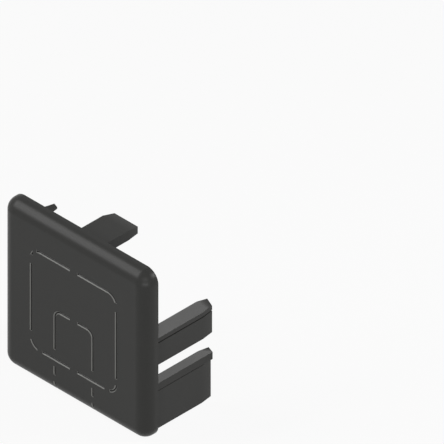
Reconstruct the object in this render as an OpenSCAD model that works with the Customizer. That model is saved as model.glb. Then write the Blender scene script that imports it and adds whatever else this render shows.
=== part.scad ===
// Square end cap with a rounded face, scored outlines and prongs behind.
// The plate's rear rim is the plane y = 0, its face looks along -Y, and Z is up.

/* [Plate] */
// Width of the plate
plate_width = 40; // [30:1:80]
// Height of the plate
plate_height = 40; // [30:1:80]
// Depth of the plate from its face to its rear rim
plate_depth = 3.6; // [3.2:0.1:6]
// Rounding along the face's outer edges
face_rounding = 2.9; // [1:0.1:3]
// Radius of the plate's four corners, seen from the front
corner_radius = 3; // [3:0.1:6]
// Thickness of the face behind the hollow
face_wall = 1.5; // [1.2:0.1:3]
// Width of the rim round the hollow
rim_width = 2.4; // [1.8:0.1:4]
// Radius of the hollow's corners
hollow_radius = 1.2; // [0.5:0.1:3]

/* [Score lines] */
// Width of the score lines
score_width = 0.66; // [0.3:0.02:1]
// Depth of the score lines
score_depth = 0.3; // [0.1:0.02:0.6]
// Side of the outer scored square, along its centre line
square_size = 23.6; // [16:0.1:28]
// Corner radius of the outer scored square
square_corner = 2.4; // [1:0.1:5]
// Width of the inner scored arch, along its centre lines
arch_width = 10.5; // [6:0.1:14]
// Corner radius of the inner scored arch
arch_corner = 1.6; // [0.8:0.1:4]
// Bridge left at the middle of each level score line
middle_bridge = 2; // [0.5:0.1:4]
// Height above or below the middle at which the side bridges start
side_bridge_start = 8.05; // [5:0.05:9]
// Length of the side bridges
side_bridge = 2.1; // [0.5:0.1:3]
// Length of the shorter bridge at the lower right corner
short_bridge = 1.5; // [0.5:0.1:3]
// Distance from the middle to the small bridge at the upper left corner
upper_left_bridge_start = 10.3; // [9:0.05:11]
// Length of the small bridge at the upper left corner
upper_left_bridge = 1; // [0.5:0.1:1.5]
// Distance from the middle to the two bridges in the bottom line
bottom_bridge_start = 8.6; // [6:0.05:10]
// Length of the two bridges in the bottom line
bottom_bridge = 1.4; // [0.5:0.1:2]
// Height below the middle at which the arch's long side lines end
arch_side_end = 9.45; // [6:0.05:11]
// Height below the middle at which the arch's short side lines start
arch_dash_start = 13.45; // [12.5:0.05:14]
// Length of the arch's short side lines
arch_dash = 2.05; // [1:0.05:3]

/* [Prongs] */
// Distance from the plate's upper edge to the top prong
top_inset = 2.3; // [1.5:0.1:4]
// Distance from the plate's sides to the middle side prongs
middle_inset = 2.2; // [1.5:0.1:4]
// Distance from the plate's edges to the lower prongs and the lug
corner_inset = 1.28; // [1:0.01:3]
// Length of the lead-in at each tip
lead_length = 2.9; // [1:0.1:5]
// Drop of the upper side along the lead-ins of the top prong and the lug
lead_drop = 0.65; // [0.1:0.05:1]
// Narrowing of a side along a lead-in
lead_side = 0.4; // [0.1:0.05:0.8]
// Width of the top prong
top_width = 7.26; // [4:0.02:12]
// Thickness of the top prong
top_thickness = 2.3; // [1.2:0.05:3]
// Reach of the top prong behind the rim
top_reach = 11.05; // [6:0.05:20]
// Height of the middle side prongs
side_height = 8.15; // [4:0.05:12]
// Distance of the middle side prongs' middle below the plate's middle
side_fall = 0.375; // [0:0.025:2]
// Thickness of the middle side prongs
side_thickness = 1.75; // [1:0.05:3]
// Height of the straight band under the bevel of the middle side prongs
side_band = 1; // [0.4:0.05:2]
// Reach of the middle side prongs behind the rim
side_reach = 17.5; // [8:0.1:25]
// Drop of the upper side along the lead-in of the middle side prongs
side_drop = 0.75; // [0.1:0.05:1]
// Fall of that lead-in across the prong, for each unit of width
side_fall_across = 0.8; // [0.3:0.05:1]
// Height of the lower side prongs
lower_height = 12; // [6:0.1:14]
// Thickness of the lower side prongs
lower_thickness = 1; // [0.8:0.05:3]
// Height of the raised bead under the bevel of the lower side prongs
bead_height = 1.7; // [0.5:0.1:3]
// Amount by which the bead stands out of its prong
bead_proud = 0.12; // [0.05:0.01:0.6]
// Reach of the lower side prongs behind the rim
lower_reach = 16.2; // [8:0.1:25]
// Drop of the upper side along the lead-in of the lower side prongs
lower_drop = 0.5; // [0.1:0.05:1]
// Depth of the fine line under the bands of the side prongs
line_depth = 0.25; // [0.05:0.01:0.4]
// Height of that fine line
line_height = 0.25; // [0.1:0.05:0.5]

/* [Lug] */
// Width of the small lug at the upper left
lug_width = 1.2; // [0.8:0.05:3]
// Height of the lug
lug_height = 1.5; // [1:0.05:4]
// Height of the lug's upper side above the plate's middle
lug_top = 12.85; // [8:0.05:16]
// Reach of the lug behind the rim
lug_reach = 9.85; // [4:0.05:15]

/* [Hidden] */
$fn = 96;
plate_right = plate_width / 2;
plate_top = plate_height / 2;
hollow_depth = plate_depth - face_wall;
square_half = square_size / 2;
cut_margin = 1;
cut_size = 60;
score_margin = 0.06;

// Rounded slab standing on z = 0
module slab(width, height, radius, thickness) {
  translate([-width / 2 + radius, -height / 2, 0])
    cube([width - 2 * radius, height, thickness]);
  translate([-width / 2, -height / 2 + radius, 0])
    cube([width, height - 2 * radius, thickness]);
  for (side = [-1, 1], level = [-1, 1])
    translate([side * (width / 2 - radius), level * (height / 2 - radius), 0])
      cylinder(r = radius, h = thickness);
}

// Takes a section, measured outwards from a corner's centre, all round a rounded square
module all_round(width, height, radius) {
  straight_width = width - 2 * radius;
  straight_height = height - 2 * radius;
  for (side = [0, 1])
    mirror([side, 0, 0]) {
      translate([straight_width / 2, 0, 0])
        rotate([90, 0, 0])
          linear_extrude(height = straight_height, center = true)
            children();
      for (level = [0, 1])
        mirror([0, level, 0])
          translate([straight_width / 2, straight_height / 2, 0])
            rotate_extrude(angle = 90)
              children();
    }
  for (level = [0, 1])
    mirror([0, level, 0])
      translate([0, straight_height / 2, 0])
        rotate([90, 0, 90])
          linear_extrude(height = straight_width, center = true)
            children();
}

// Section through the plate's edge
module edge_section() {
  square([corner_radius, plate_depth - face_rounding]);
  square([corner_radius - face_rounding, plate_depth]);
  translate([corner_radius - face_rounding, plate_depth - face_rounding])
    intersection() {
      circle(r = face_rounding);
      square(face_rounding);
    }
}

// Section of a score line, with its mouth along y = 0
module score_section() {
  mouth = score_width / 2 * (1 + score_margin / score_depth);
  polygon([[-mouth, score_margin], [mouth, score_margin], [0, -score_depth]]);
}

// Solid plate, lying with its rim on z = 0 and its face up
module solid_plate() {
  straight_width = plate_width - 2 * corner_radius;
  straight_height = plate_height - 2 * corner_radius;
  translate([-straight_width / 2, -straight_height / 2, 0])
    cube([straight_width, straight_height, plate_depth]);
  all_round(plate_width, plate_height, corner_radius)
    edge_section();
}

// Closed score line
module score_ring(width, height, radius) {
  all_round(width, height, radius)
    translate([radius, plate_depth])
      score_section();
}

// Block that keeps a bridge: x and y are its lower left corner
module bridge(x, y, width, height) {
  translate([x, y, 0])
    cube([width, height, plate_depth + cut_margin]);
}

// Outer scored square with its bridges
module scored_square() {
  band = 2 * score_width;
  difference() {
    score_ring(square_size, square_size, square_corner);
    for (level = [-1, 1])
      bridge(-middle_bridge / 2, level * square_half - band, middle_bridge, 2 * band);
    for (side = [-1, 1])
      bridge(side * square_half - band, side_bridge_start, 2 * band, side_bridge);
    bridge(-square_half - band, -side_bridge_start - side_bridge, 2 * band, side_bridge);
    bridge(square_half - band, -side_bridge_start - short_bridge, 2 * band, short_bridge);
    bridge(-upper_left_bridge_start - upper_left_bridge, square_half - 2 * band, upper_left_bridge, 3 * band);
    bridge(-bottom_bridge_start - bottom_bridge, -square_half - band, bottom_bridge, 2 * band);
    bridge(bottom_bridge_start, -square_half - band, bottom_bridge, 2 * band);
  }
}

// Inner scored arch with its bridge at the top
module scored_arch() {
  arch_height = 2 * (arch_side_end + arch_corner);
  difference() {
    translate([0, -arch_height / 2, 0])
      score_ring(arch_width, arch_height, arch_corner);
    bridge(-middle_bridge / 2, -2 * score_width, middle_bridge, 4 * score_width);
    bridge(-plate_right, -2 * plate_top, plate_width, 2 * plate_top - arch_side_end);
  }
}

// Short lines that run the arch's sides on to the plate's lower edge
module arch_tails() {
  for (side = [-1, 1])
    translate([side * arch_width / 2, 0, 0]) {
      translate([0, -arch_dash_start - arch_dash / 2, plate_depth])
        rotate([90, 0, 0])
          linear_extrude(height = arch_dash, center = true)
            score_section();
      translate([0, face_rounding - plate_top, plate_depth - face_rounding])
        mirror([0, 1, 0])
          rotate([0, -90, 0])
            rotate_extrude(angle = 90)
              translate([face_rounding, 0])
                rotate([0, 0, -90])
                  score_section();
    }
}

// Moulded plate in its place, with its face along -Y
module plate() {
  rotate([90, 0, 0])
    difference() {
      solid_plate();
      translate([0, 0, -cut_margin])
        slab(
          plate_width - 2 * rim_width, plate_height - 2 * rim_width,
          hollow_radius, hollow_depth + cut_margin
        );
      scored_square();
      scored_arch();
      arch_tails();
    }
}

// Cuts away all above a plane through a point, falling by these slopes towards +X and +Y
module cut_above(point, fall_x, fall_y) {
  turn_y = atan(fall_x);
  translate(point)
    rotate([-atan(fall_y * cos(turn_y)), turn_y, 0])
      translate([-cut_size / 2, -cut_size / 2, 0])
        cube([cut_size, cut_size, cut_size / 2]);
}

// Cuts away all to the right of an upright plane through x, y that leans to -X along +Y
module cut_right(x, y, lean) {
  translate([x, y, 0])
    rotate([0, 0, atan(lean)])
      translate([0, -cut_size / 2, -cut_size / 2])
        cube([cut_size / 2, cut_size, cut_size]);
}

// Fine line under a band whose foot is at z, along a side face to y and on along the lead-in's lean
module side_line(x, y, z, lean) {
  line = [line_depth + cut_margin, y + hollow_depth + cut_margin, line_height];
  translate([x - line_depth, -hollow_depth - cut_margin, z - line_height])
    cube(line);
  translate([x, y, z - line_height])
    rotate([0, 0, atan(lean)])
      translate([-line_depth, 0, 0])
        cube([line_depth + cut_margin, 2 * lead_length, line_height]);
}

// Bar of a section given in x and z, from the plate's hollow to its tip
module bar(points, reach) {
  translate([0, reach, 0])
    rotate([90, 0, 0])
      linear_extrude(height = reach + hollow_depth)
        polygon(points);
}

// Prong behind the plate's upper edge
module top_prong() {
  lead_start = top_reach - lead_length;
  upper = plate_top - top_inset;
  difference() {
    translate([-top_width / 2, -hollow_depth, upper - top_thickness])
      cube([top_width, top_reach + hollow_depth, top_thickness]);
    cut_above([0, lead_start, upper], 0, lead_drop / lead_length);
    for (side = [0, 1])
      mirror([side, 0, 0])
        cut_right(top_width / 2, lead_start, lead_side / lead_length);
  }
}

// Middle prong on the right, bevelled over its whole thickness
module middle_prong() {
  outer = plate_right - middle_inset;
  inner = outer - side_thickness;
  upper = side_height / 2 - side_fall;
  lower = upper - side_height;
  band_top = upper - side_thickness;
  band_foot = band_top - side_band;
  lead_start = side_reach - lead_length;
  lean = lead_side / lead_length;
  difference() {
    bar([[inner, lower], [outer, lower], [outer, band_top], [inner, upper]], side_reach);
    cut_above([inner, lead_start, upper], side_fall_across, side_drop / lead_length);
    cut_right(outer, lead_start, lean);
    side_line(outer, lead_start, band_foot, lean);
  }
}

// Lower prong on the right, with a raised bead along its upper edge
module lower_prong() {
  outer = plate_right - corner_inset;
  inner = outer - lower_thickness;
  lower = -plate_top + corner_inset;
  upper = lower + lower_height;
  bead_outer = outer + bead_proud;
  bevel = bead_outer - inner;
  bead_top = upper - bevel;
  bead_foot = bead_top - bead_height;
  lead_start = lower_reach - lead_length;
  lean = lead_side / lead_length;
  difference() {
    bar([[inner, lower], [outer, lower], [outer, bead_foot], [inner, bead_foot]], lower_reach);
    cut_right(outer, lead_start, lean);
    side_line(outer, lead_start, bead_foot, lean);
  }
  difference() {
    bar(
      [
        [inner, bead_foot - lower_thickness],
        [outer - lead_side - line_depth, bead_foot],
        [bead_outer, bead_foot],
        [bead_outer, bead_top],
        [inner, upper]
      ],
      lower_reach
    );
    cut_above([inner, lead_start, upper], (bevel - lower_drop) / bevel, lower_drop / lead_length);
  }
}

// Small lug near the upper left corner
module lug() {
  outer = -plate_right + corner_inset;
  lead_start = lug_reach - lead_length;
  difference() {
    translate([outer, -hollow_depth, lug_top - lug_height])
      cube([lug_width, lug_reach + hollow_depth, lug_height]);
    cut_above([outer, lead_start, lug_top], lead_drop / lug_width, lead_drop / lead_length);
    cut_right(outer + lug_width, lead_start, lead_side / lead_length);
  }
}

module end_cap() {
  color([0.227, 0.227, 0.22]) {
    plate();
    top_prong();
    for (side = [0, 1])
      mirror([side, 0, 0]) {
        middle_prong();
        lower_prong();
      }
    lug();
  }
}

end_cap();
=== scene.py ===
import math

import bmesh
import bpy
from mathutils import Matrix, Vector


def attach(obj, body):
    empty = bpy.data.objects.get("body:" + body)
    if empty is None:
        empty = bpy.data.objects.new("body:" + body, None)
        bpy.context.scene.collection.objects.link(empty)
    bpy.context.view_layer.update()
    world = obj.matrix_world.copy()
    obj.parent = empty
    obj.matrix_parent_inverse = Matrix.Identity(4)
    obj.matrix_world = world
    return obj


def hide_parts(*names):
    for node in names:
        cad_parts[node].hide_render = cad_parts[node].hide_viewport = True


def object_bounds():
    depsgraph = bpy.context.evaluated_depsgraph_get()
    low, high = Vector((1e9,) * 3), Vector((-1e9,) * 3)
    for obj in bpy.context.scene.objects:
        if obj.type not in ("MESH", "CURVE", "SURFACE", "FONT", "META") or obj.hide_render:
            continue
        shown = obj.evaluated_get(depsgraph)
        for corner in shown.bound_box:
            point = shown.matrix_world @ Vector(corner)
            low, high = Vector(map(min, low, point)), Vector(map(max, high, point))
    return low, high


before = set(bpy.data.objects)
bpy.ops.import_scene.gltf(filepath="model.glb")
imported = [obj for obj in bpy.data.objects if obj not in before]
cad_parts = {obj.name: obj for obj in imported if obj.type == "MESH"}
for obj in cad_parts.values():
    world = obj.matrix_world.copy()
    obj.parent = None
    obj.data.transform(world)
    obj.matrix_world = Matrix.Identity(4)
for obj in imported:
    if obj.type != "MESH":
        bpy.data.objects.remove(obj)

bl_info = {
    "name": "Square End Cap",
    "version": (1, 0, 0),
    "blender": (4, 5, 0),
    "location": "3D View > Sidebar > End Cap",
    "description": "Builds a moulded square end cap, and a plain studio round it",
    "category": "Object",
}

START_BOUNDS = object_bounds()
NODE = "end_cap"

# The plate's face and foot, and the rounding that the score lines run over
FACE_Y = START_BOUNDS[0][1]
FOOT_Z = START_BOUNDS[0][2]
FACE_ROUNDING = 0.0029

# Depth of the score lines, and how far they reach from the plate's middle
SCORE_DEPTH = 0.0003
SCORE_REACH = 0.0125
SCORE_ATTRIBUTE = "score"
# Shares of that depth: a painted highlight runs from the first to the second, painted shade
# from the third on, and no line is deeper than the last
PAINTED_HIGHLIGHT_START = 0.1
PAINTED_HIGHLIGHT_END = 0.5
PAINTED_SHADE_START = 0.6
DEEPEST = 1.05

# Doubles within this distance are one corner
DOUBLES = 1e-6
# Faces that turn by less than this are one flat face, and edges that turn by more are rounded
FLAT_ANGLE = math.radians(0.4)
SHARP_ANGLE = math.radians(20)
EDGE_SEGMENTS = 2

# Detail of the fine grain, how many times the broad unevenness changes in a metre, and how
# far it spreads the roughness
GRAIN_DETAIL = 2.0
BROAD_SCALE = 120.0
BROAD_SPREAD = 0.05

FLOOR_HALF_WIDTH = 1.5
# Share of the floor that is plain white to the camera, so that the rest keeps the shadow
FLOOR_WHITENESS = 0.92
CAMERA_DISTANCE = 0.5
CAMERA_REACH = (0.01, 10)
LOOK_FROM = Vector((1, -1, 1)).normalized()
PICTURE_RIGHT = Vector((1, 1, 0)).normalized()
PICTURE_UP = Vector((-1, 1, 2)).normalized()

# Each lamp's name, the setting of its power, its place, the way its upper side faces, and
# its width and height
LAMPS = (
    ("top key", "top_power", (-0.25, -0.195, 0.295), (0, 0.9, 0.55), (0.04, 0.36)),
    ("side key", "side_power", (0.27, -0.27, 0), (0, 0, 1), (0.3, 0.04)),
    ("front key", "front_power", (0.25, -0.25, 0.25), (0, 0, 1), (0.3, 0.2)),
    ("back key", "back_power", (0.25, 0.25, 0.25), (0, 0, 1), (0.12, 0.12)),
)


class EndCapSettings(bpy.types.PropertyGroup):
    """Sizes and finish of the cap"""

    edge_radius: bpy.props.FloatProperty(
        name="Edge radius",
        description="Radius of the small rounding that moulding leaves on each sharp edge",
        default=0.00012,
        min=0.0,
        max=0.0003,
        precision=5,
        unit="LENGTH",
    )
    colour: bpy.props.FloatVectorProperty(
        name="Colour",
        description="Colour of the plastic",
        subtype="COLOR",
        size=3,
        default=(0.029, 0.029, 0.0275),
        min=0.0,
        max=1.0,
    )
    # Painted highlight: the rims of the score lines are painted paler where their flank catches
    # the light
    score_painted_highlight: bpy.props.FloatVectorProperty(
        name="Score colour",
        description="Paler colour of the plastic along the rims of the score lines",
        subtype="COLOR",
        size=3,
        default=(0.175, 0.175, 0.167),
        min=0.0,
        max=1.0,
    )
    # Painted shade: the roots of the score lines are painted darker where shade falls in them
    score_painted_shade: bpy.props.FloatVectorProperty(
        name="Score shade",
        description="Darker colour of the plastic at the roots of the score lines",
        subtype="COLOR",
        size=3,
        default=(0.01, 0.01, 0.0095),
        min=0.0,
        max=1.0,
    )
    roughness: bpy.props.FloatProperty(
        name="Roughness",
        description="Roughness of the moulded surface",
        default=0.36,
        min=0.0,
        max=1.0,
        subtype="FACTOR",
    )
    gloss: bpy.props.FloatProperty(
        name="Gloss",
        description="Strength of the plastic's mirror-like reflections",
        default=0.15,
        min=0.0,
        max=1.0,
        subtype="FACTOR",
    )
    grain_size: bpy.props.FloatProperty(
        name="Grain size",
        description="Size of the fine grain that the mould leaves",
        default=0.00018,
        min=0.00005,
        precision=5,
        unit="LENGTH",
    )
    grain_depth: bpy.props.FloatProperty(
        name="Grain depth",
        description="Depth of the fine grain",
        default=0.000002,
        min=0.0,
        precision=7,
        unit="LENGTH",
    )


class StageSettings(bpy.types.PropertyGroup):
    """Camera, floor and lamps"""

    picture_width: bpy.props.FloatProperty(
        name="Picture width",
        description="Width that the camera sees across the object",
        default=0.08709,
        min=0.01,
        unit="LENGTH",
    )
    shift_right: bpy.props.FloatProperty(
        name="Shift right",
        description="Distance of the picture's middle to the right of the origin",
        default=0.026608,
        unit="LENGTH",
    )
    shift_up: bpy.props.FloatProperty(
        name="Shift up",
        description="Distance of the picture's middle above the origin",
        default=0.018006,
        unit="LENGTH",
    )
    floor_colour: bpy.props.FloatVectorProperty(
        name="Floor colour",
        description="Colour of the floor",
        subtype="COLOR",
        size=3,
        default=(0.65, 0.65, 0.65),
        min=0.0,
        max=1.0,
    )
    top_power: bpy.props.FloatProperty(
        name="Upper left lamp",
        description="Power of the lamp that shines along the plate's rounded upper edge",
        default=1.2,
        min=0.0,
        unit="POWER",
    )
    side_power: bpy.props.FloatProperty(
        name="Right lamp",
        description="Power of the lamp that shines along the plate's rounded right edge",
        default=0.57,
        min=0.0,
        unit="POWER",
    )
    back_power: bpy.props.FloatProperty(
        name="Rear right lamp",
        description="Power of the lamp that shines on the bevels of the prongs",
        default=0.9,
        min=0.0,
        unit="POWER",
    )
    front_power: bpy.props.FloatProperty(
        name="Front lamp",
        description="Power of the soft lamp beside the camera",
        default=0.45,
        min=0.0,
        unit="POWER",
    )
    fill_level: bpy.props.FloatProperty(
        name="Surrounding light",
        description="Strength of the even light from all sides",
        default=0.0,
        min=0.0,
    )


def new_material(name):
    """Returns an empty node material with its output node."""
    material = bpy.data.materials.new(name)
    material.use_nodes = True
    material.node_tree.nodes.clear()
    output = material.node_tree.nodes.new("ShaderNodeOutputMaterial")
    return material, output


def grain_group():
    """Returns the group that turns a place on the object into fine mould grain."""
    group = bpy.data.node_groups.new("mould grain", "ShaderNodeTree")
    for name, kind in (
        ("Vector", "NodeSocketVector"),
        ("Size", "NodeSocketFloat"),
        ("Roughness", "NodeSocketFloat"),
        ("Spread", "NodeSocketFloat"),
    ):
        group.interface.new_socket(name=name, in_out="INPUT", socket_type=kind)
    for name in ("Roughness", "Height"):
        group.interface.new_socket(name=name, in_out="OUTPUT", socket_type="NodeSocketFloat")
    start = group.nodes.new("NodeGroupInput")
    end = group.nodes.new("NodeGroupOutput")
    scale = group.nodes.new("ShaderNodeMath")
    scale.operation = "DIVIDE"
    scale.inputs[0].default_value = 1.0
    group.links.new(start.outputs["Size"], scale.inputs[1])
    fine = group.nodes.new("ShaderNodeTexNoise")
    fine.inputs["Detail"].default_value = GRAIN_DETAIL
    group.links.new(start.outputs["Vector"], fine.inputs["Vector"])
    group.links.new(scale.outputs["Value"], fine.inputs["Scale"])
    broad = group.nodes.new("ShaderNodeTexNoise")
    broad.inputs["Scale"].default_value = BROAD_SCALE
    group.links.new(start.outputs["Vector"], broad.inputs["Vector"])
    centred = group.nodes.new("ShaderNodeMath")
    centred.operation = "SUBTRACT"
    centred.inputs[1].default_value = 0.5
    group.links.new(broad.outputs["Fac"], centred.inputs[0])
    rough = group.nodes.new("ShaderNodeMath")
    rough.operation = "MULTIPLY_ADD"
    group.links.new(centred.outputs["Value"], rough.inputs[0])
    group.links.new(start.outputs["Spread"], rough.inputs[1])
    group.links.new(start.outputs["Roughness"], rough.inputs[2])
    group.links.new(rough.outputs["Value"], end.inputs["Roughness"])
    group.links.new(fine.outputs["Fac"], end.inputs["Height"])
    return group


def plastic(settings):
    """Returns moulded plastic with a fine grain, and score lines with a painted highlight on their
    rims and painted shade at their roots.
    """
    material, output = new_material("moulded plastic")
    tree = material.node_tree
    shader = tree.nodes.new("ShaderNodeBsdfPrincipled")
    score = tree.nodes.new("ShaderNodeAttribute")
    score.attribute_name = SCORE_ATTRIBUTE
    # This ramp paints a highlight on the score lines' rims and shade at their roots
    shade = tree.nodes.new("ShaderNodeValToRGB")
    stops = (
        (0.0, settings.colour),
        (PAINTED_HIGHLIGHT_START, settings.score_painted_highlight),
        (PAINTED_HIGHLIGHT_END, settings.score_painted_highlight),
        (PAINTED_SHADE_START, settings.score_painted_shade),
    )
    elements = shade.color_ramp.elements
    while len(elements) < len(stops):
        elements.new(1.0)
    for element, (share, colour) in zip(elements, stops):
        element.position = share
        element.color = (*colour, 1.0)
    tree.links.new(score.outputs["Fac"], shade.inputs["Fac"])
    tree.links.new(shade.outputs["Color"], shader.inputs["Base Color"])
    shader.inputs["Specular IOR Level"].default_value = settings.gloss
    place = tree.nodes.new("ShaderNodeTexCoord")
    grain = tree.nodes.new("ShaderNodeGroup")
    grain.node_tree = grain_group()
    grain.inputs["Size"].default_value = settings.grain_size
    grain.inputs["Roughness"].default_value = settings.roughness
    grain.inputs["Spread"].default_value = BROAD_SPREAD
    bump = tree.nodes.new("ShaderNodeBump")
    bump.inputs["Distance"].default_value = settings.grain_depth
    tree.links.new(place.outputs["Object"], grain.inputs["Vector"])
    tree.links.new(grain.outputs["Roughness"], shader.inputs["Roughness"])
    tree.links.new(grain.outputs["Height"], bump.inputs["Height"])
    tree.links.new(bump.outputs["Normal"], shader.inputs["Normal"])
    tree.links.new(shader.outputs["BSDF"], output.inputs["Surface"])
    return material


def score_depth(place):
    """Returns how far a place on the plate's front lies under its smooth outer skin."""
    behind = place.y - FACE_Y
    below = FOOT_Z + FACE_ROUNDING - place.z
    if below <= 0:
        return behind
    return FACE_ROUNDING - math.hypot(behind - FACE_ROUNDING, below)


def mark_scores(bm):
    """Keeps in a vertex attribute how deep each corner lies in a score line, from 0 to 1: the mask
    for the painted highlight and painted shade of the score lines.
    """
    layer = bm.verts.layers.float.new(SCORE_ATTRIBUTE)
    for vert in bm.verts:
        share = score_depth(vert.co) / SCORE_DEPTH
        near = abs(vert.co.x) < SCORE_REACH and vert.co.z < SCORE_REACH
        if near and 0 < share < DEEPEST:
            vert[layer] = share


def softened_copy(source, name, radius):
    """Returns a new object with the source's shape, cleaned flat faces and rounded edges."""
    bm = bmesh.new()
    bm.from_mesh(source.data)
    bmesh.ops.remove_doubles(bm, verts=bm.verts, dist=DOUBLES)
    bmesh.ops.dissolve_limit(
        bm, angle_limit=FLAT_ANGLE, verts=bm.verts, edges=bm.edges, use_dissolve_boundaries=False
    )
    bmesh.ops.bevel(
        bm,
        geom=[edge for edge in bm.edges if edge.calc_face_angle(0.0) > SHARP_ANGLE],
        offset=radius,
        segments=EDGE_SEGMENTS,
        profile=0.5,
        affect="EDGES",
        clamp_overlap=True,
        material=-1,
    )
    mark_scores(bm)
    mesh = bpy.data.meshes.new(name)
    bm.to_mesh(mesh)
    bm.free()
    for face in mesh.polygons:
        face.use_smooth = True
    copy = bpy.data.objects.new(name, mesh)
    bpy.context.scene.collection.objects.link(copy)
    return copy


class END_CAP_OT_build_cap(bpy.types.Operator):
    """Builds the moulded cap with its softened edges"""

    bl_idname = "end_cap.build_cap"
    bl_label = "Build Cap"

    def execute(self, context):
        settings = context.scene.end_cap
        cap = softened_copy(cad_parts[NODE], "moulded_cap", settings.edge_radius)
        cap.data.materials.append(plastic(settings))
        normals = cap.modifiers.new("flat faces", "WEIGHTED_NORMAL")
        normals.keep_sharp = True
        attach(cap, "root")
        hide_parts(NODE)
        return {"FINISHED"}


def aim(thing, place, target, upward=(0, 0, 1)):
    """Puts a lamp or camera at a place, looking at the target, with its upper side upward."""
    back = (Vector(place) - Vector(target)).normalized()
    side = Vector(upward).cross(back).normalized()
    turn = Matrix((side, back.cross(side), back)).transposed()
    thing.matrix_world = Matrix.Translation(place) @ turn.to_4x4()


def add_lamp(name, place, upward, size, power):
    """Adds a soft lamp of a width and a height, looking at the origin."""
    data = bpy.data.lights.new(name, "AREA")
    data.shape = "RECTANGLE"
    data.size, data.size_y = size
    data.energy = power
    lamp = bpy.data.objects.new(name, data)
    bpy.context.scene.collection.objects.link(lamp)
    aim(lamp, place, (0, 0, 0), upward)


def seen_straight(tree):
    """Returns a socket that is 1 for rays from the camera, mirror rays and rays through glass."""
    path = tree.nodes.new("ShaderNodeLightPath")
    value = path.outputs["Is Camera Ray"]
    for other in ("Is Glossy Ray", "Is Transmission Ray"):
        either = tree.nodes.new("ShaderNodeMath")
        either.operation = "MAXIMUM"
        tree.links.new(value, either.inputs[0])
        tree.links.new(path.outputs[other], either.inputs[1])
        value = either.outputs["Value"]
    return value


def add_floor(settings):
    """Adds a plain pale floor at the cap's foot, white to the camera but for the shadow."""
    bm = bmesh.new()
    bmesh.ops.create_grid(bm, x_segments=1, y_segments=1, size=FLOOR_HALF_WIDTH)
    bmesh.ops.translate(bm, verts=bm.verts, vec=(0, 0, FOOT_Z))
    mesh = bpy.data.meshes.new("floor")
    bm.to_mesh(mesh)
    bm.free()
    floor = bpy.data.objects.new("floor", mesh)
    bpy.context.scene.collection.objects.link(floor)
    material, output = new_material("pale floor")
    tree = material.node_tree
    diffuse = tree.nodes.new("ShaderNodeBsdfDiffuse")
    diffuse.inputs["Color"].default_value = (*settings.floor_colour, 1.0)
    glow = tree.nodes.new("ShaderNodeEmission")
    mix = tree.nodes.new("ShaderNodeMixShader")
    share = tree.nodes.new("ShaderNodeMath")
    share.operation = "MULTIPLY"
    share.inputs[1].default_value = FLOOR_WHITENESS
    tree.links.new(seen_straight(tree), share.inputs[0])
    tree.links.new(share.outputs["Value"], mix.inputs["Fac"])
    tree.links.new(diffuse.outputs["BSDF"], mix.inputs[1])
    tree.links.new(glow.outputs["Emission"], mix.inputs[2])
    tree.links.new(mix.outputs["Shader"], output.inputs["Surface"])
    mesh.materials.append(material)


def add_world(settings):
    """Adds a white surrounding that lights the cap only by the settings' even level."""
    world = bpy.data.worlds.new("studio")
    bpy.context.scene.world = world
    world.use_nodes = True
    world.node_tree.nodes.clear()
    tree = world.node_tree
    output = tree.nodes.new("ShaderNodeOutputWorld")
    even = tree.nodes.new("ShaderNodeBackground")
    even.inputs["Strength"].default_value = settings.fill_level
    white = tree.nodes.new("ShaderNodeBackground")
    mix = tree.nodes.new("ShaderNodeMixShader")
    tree.links.new(seen_straight(tree), mix.inputs["Fac"])
    tree.links.new(even.outputs["Background"], mix.inputs[1])
    tree.links.new(white.outputs["Background"], mix.inputs[2])
    tree.links.new(mix.outputs["Shader"], output.inputs["Surface"])
    for node in (even, white):
        node.inputs["Color"].default_value = (1.0, 1.0, 1.0, 1.0)


def add_camera(settings):
    """Adds a camera without perspective that looks down on the cap's face and right side."""
    data = bpy.data.cameras.new("camera")
    data.type = "ORTHO"
    data.ortho_scale = settings.picture_width
    data.clip_start, data.clip_end = CAMERA_REACH
    camera = bpy.data.objects.new("camera", data)
    bpy.context.scene.collection.objects.link(camera)
    target = PICTURE_RIGHT * settings.shift_right + PICTURE_UP * settings.shift_up
    aim(camera, target + LOOK_FROM * CAMERA_DISTANCE, target)
    bpy.context.scene.camera = camera


class END_CAP_OT_build_stage(bpy.types.Operator):
    """Builds the floor, the lamps, the world and the camera"""

    bl_idname = "end_cap.build_stage"
    bl_label = "Build Stage"

    def execute(self, context):
        settings = context.scene.end_cap_stage
        add_floor(settings)
        add_world(settings)
        for name, power, place, upward, size in LAMPS:
            add_lamp(name, place, upward, size, getattr(settings, power))
        add_camera(settings)
        context.scene.view_settings.view_transform = "Standard"
        return {"FINISHED"}


class END_CAP_PT_panel(bpy.types.Panel):
    """Lists the cap's and the stage's settings"""

    bl_idname = "END_CAP_PT_panel"
    bl_label = "End Cap"
    bl_space_type = "VIEW_3D"
    bl_region_type = "UI"
    bl_category = "End Cap"

    def draw(self, context):
        for settings, operator in (
            (context.scene.end_cap, "end_cap.build_cap"),
            (context.scene.end_cap_stage, "end_cap.build_stage"),
        ):
            box = self.layout.box()
            for name in settings.__annotations__:
                box.prop(settings, name)
            box.operator(operator)


CLASSES = (
    EndCapSettings,
    StageSettings,
    END_CAP_OT_build_cap,
    END_CAP_OT_build_stage,
    END_CAP_PT_panel,
)


def register():
    for cls in CLASSES:
        bpy.utils.register_class(cls)
    bpy.types.Scene.end_cap = bpy.props.PointerProperty(type=EndCapSettings)
    bpy.types.Scene.end_cap_stage = bpy.props.PointerProperty(type=StageSettings)


def unregister():
    del bpy.types.Scene.end_cap_stage
    del bpy.types.Scene.end_cap
    for cls in reversed(CLASSES):
        bpy.utils.unregister_class(cls)


def main():
    register()
    bpy.ops.end_cap.build_cap()
    bpy.ops.end_cap.build_stage()


if __name__ == "__main__":
    main()
